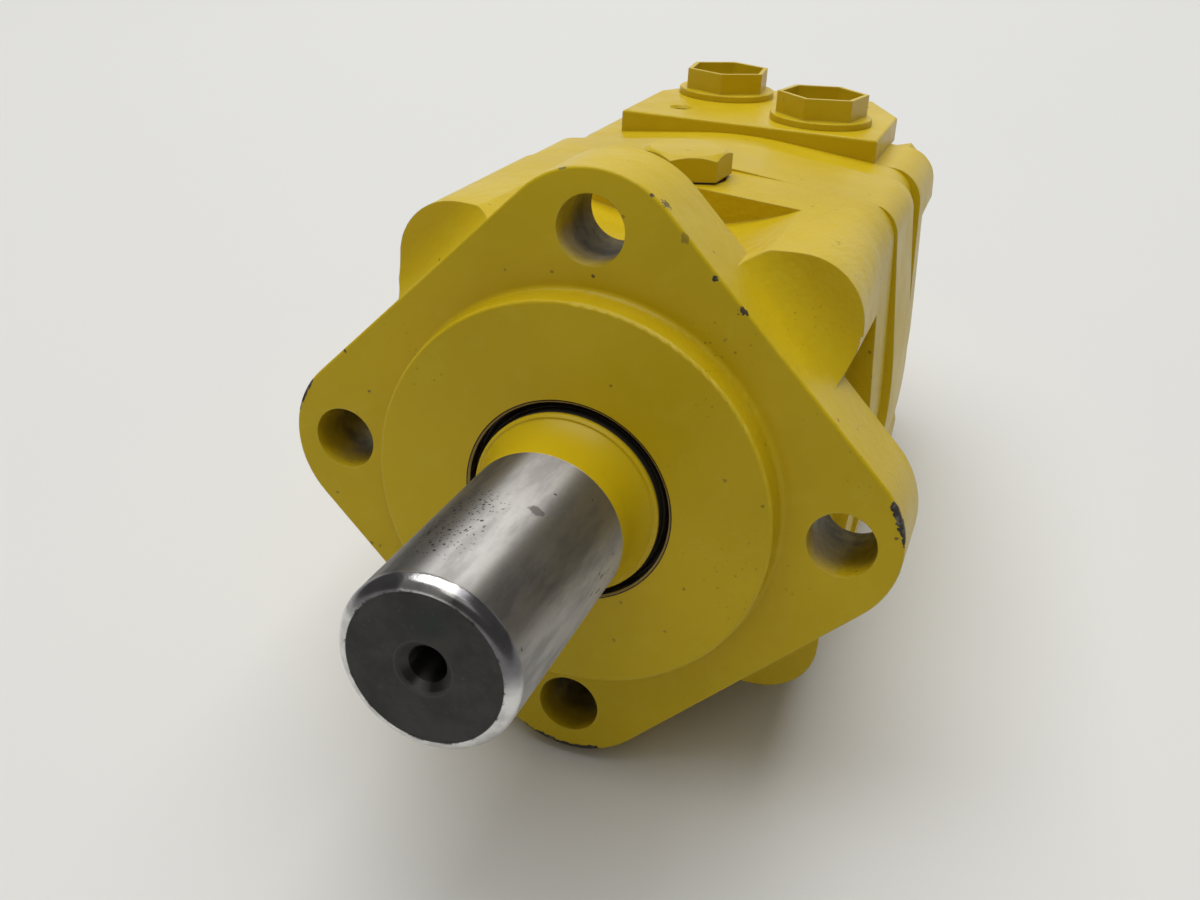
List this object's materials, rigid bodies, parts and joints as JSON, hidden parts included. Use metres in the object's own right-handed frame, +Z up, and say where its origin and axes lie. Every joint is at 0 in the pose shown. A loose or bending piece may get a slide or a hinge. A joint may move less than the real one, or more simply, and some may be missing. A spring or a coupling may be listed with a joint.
{
  "type": "hydraulic motor",
  "caption": "Disc-valve orbital hydraulic motor with a square four-bolt flange, round pilot, plain cylindrical shaft and plugged ports on a raised rear pad.",
  "frame": {"origin": "on the shaft axis, in the flange's mounting face", "axes": "+Y from the mounting face to the rear of the motor, so the shaft points to -Y; +Z up through the port pad and the drain plug; +X to the right seen from the shaft"},
  "size_m": [0.1296, 0.2388, 0.1296],
  "materials": {
    "painted_casting": "satin",
    "painted_machined_steel": "satin",
    "painted_fastener": "satin",
    "painted_plug_plastic": "satin",
    "bare_ground_steel": "satin",
    "seal_rubber": "matte",
    "plain_steel": "satin",
    "bearing_race_steel": "polished",
    "roller_steel": "polished",
    "cage_steel": "satin",
    "case_hardened_steel": "satin",
    "lapped_steel": "satin",
    "lapped_iron": "satin",
    "spring_steel": "satin"
  },
  "bodies": {
    "housing": {"bearing_housing": "painted_casting", "dust_seal": "seal_rubber", "shaft_seal": "seal_rubber", "seal_support_ring": "plain_steel", "front_bearing_outer_race": "bearing_race_steel", "rear_bearing_outer_race": "bearing_race_steel", "bearing_shim": "plain_steel", "housing_o_ring": "seal_rubber", "wear_plate": "painted_machined_steel", "ring_front_o_ring": "seal_rubber", "geroler_ring": "painted_machined_steel", "ring_rear_o_ring": "seal_rubber", "valve_plate": "painted_machined_steel", "port_housing_o_ring": "seal_rubber", "balance_ring": "lapped_iron", "balance_ring_seal": "seal_rubber", "balance_springs": "spring_steel", "port_housing": "painted_casting", "tie_bolts": "painted_fastener", "tie_bolt_washers": "painted_fastener", "drain_plug": "painted_fastener", "drain_plug_washer": "painted_fastener", "port_plug_a": "painted_plug_plastic", "port_plug_b": "painted_plug_plastic"},
    "output_shaft": {"output_shaft": "bare_ground_steel", "front_bearing_inner_race": "bearing_race_steel", "rear_bearing_inner_race": "bearing_race_steel"},
    "front_bearing_rollers": {"front_bearing_rollers": "roller_steel", "front_bearing_cage": "cage_steel"},
    "rear_bearing_rollers": {"rear_bearing_rollers": "roller_steel", "rear_bearing_cage": "cage_steel"},
    "orbit": {"drive_spacer": "case_hardened_steel"},
    "star": {"star": "lapped_steel"},
    "main_drive": {"main_drive": "case_hardened_steel"},
    "valve_drive": {"valve_drive": "case_hardened_steel"},
    "valve_disc": {"valve_disc": "lapped_steel"},
    "ring_roller_1": {"ring_roller_1": "roller_steel"},
    "ring_roller_2": {"ring_roller_2": "roller_steel"},
    "ring_roller_3": {"ring_roller_3": "roller_steel"},
    "ring_roller_4": {"ring_roller_4": "roller_steel"},
    "ring_roller_5": {"ring_roller_5": "roller_steel"},
    "ring_roller_6": {"ring_roller_6": "roller_steel"},
    "ring_roller_7": {"ring_roller_7": "roller_steel"}
  },
  "joints": [
    {"name": "shaft_spin", "type": "hinge", "parent": "housing", "child": "output_shaft", "pos_m": [0, 0, 0], "axis": [0, -1, 0], "continuous": true},
    {"name": "front_bearing_spin", "type": "hinge", "parent": "housing", "child": "front_bearing_rollers", "pos_m": [0, 0.02, 0], "axis": [0, -1, 0], "continuous": true},
    {"name": "rear_bearing_spin", "type": "hinge", "parent": "housing", "child": "rear_bearing_rollers", "pos_m": [0, 0.06, 0], "axis": [0, -1, 0], "continuous": true},
    {"name": "star_orbit", "type": "hinge", "parent": "housing", "child": "orbit", "pos_m": [0, 0.085, 0], "axis": [0, -1, 0], "continuous": true},
    {"name": "star_turn", "type": "hinge", "parent": "orbit", "child": "star", "pos_m": [0.0028, 0.085, 0], "axis": [0, -1, 0], "continuous": true},
    {"name": "main_drive_turn", "type": "hinge", "parent": "orbit", "child": "main_drive", "pos_m": [0, 0.041, 0], "axis": [-0.0673, -0.9977, 0], "continuous": true},
    {"name": "valve_drive_turn", "type": "hinge", "parent": "orbit", "child": "valve_drive", "pos_m": [0.0028, 0.0932, 0], "axis": [0.0935, -0.9956, 0], "continuous": true},
    {"name": "valve_disc_turn", "type": "hinge", "parent": "housing", "child": "valve_disc", "pos_m": [0, 0.121, 0], "axis": [0, -1, 0], "continuous": true},
    {"name": "ring_roller_1_spin", "type": "hinge", "parent": "housing", "child": "ring_roller_1", "pos_m": [0, 0.085, 0.031], "axis": [0, -1, 0], "continuous": true},
    {"name": "ring_roller_2_spin", "type": "hinge", "parent": "housing", "child": "ring_roller_2", "pos_m": [-0.02424, 0.085, 0.01933], "axis": [0, -1, 0], "continuous": true},
    {"name": "ring_roller_3_spin", "type": "hinge", "parent": "housing", "child": "ring_roller_3", "pos_m": [-0.03022, 0.085, -0.0069], "axis": [0, -1, 0], "continuous": true},
    {"name": "ring_roller_4_spin", "type": "hinge", "parent": "housing", "child": "ring_roller_4", "pos_m": [-0.01345, 0.085, -0.02793], "axis": [0, -1, 0], "continuous": true},
    {"name": "ring_roller_5_spin", "type": "hinge", "parent": "housing", "child": "ring_roller_5", "pos_m": [0.01345, 0.085, -0.02793], "axis": [0, -1, 0], "continuous": true},
    {"name": "ring_roller_6_spin", "type": "hinge", "parent": "housing", "child": "ring_roller_6", "pos_m": [0.03022, 0.085, -0.0069], "axis": [0, -1, 0], "continuous": true},
    {"name": "ring_roller_7_spin", "type": "hinge", "parent": "housing", "child": "ring_roller_7", "pos_m": [0.02424, 0.085, 0.01933], "axis": [0, -1, 0], "continuous": true}
  ],
  "couplings": [
    {"joint": "front_bearing_spin", "follows": "shaft_spin", "ratio": 0.44},
    {"joint": "rear_bearing_spin", "follows": "shaft_spin", "ratio": 0.44},
    {"joint": "star_orbit", "follows": "shaft_spin", "ratio": -6},
    {"joint": "star_turn", "follows": "shaft_spin", "ratio": 7},
    {"joint": "main_drive_turn", "follows": "shaft_spin", "ratio": 7},
    {"joint": "valve_drive_turn", "follows": "shaft_spin", "ratio": 7},
    {"joint": "valve_disc_turn", "follows": "shaft_spin", "ratio": 1}
  ]
}
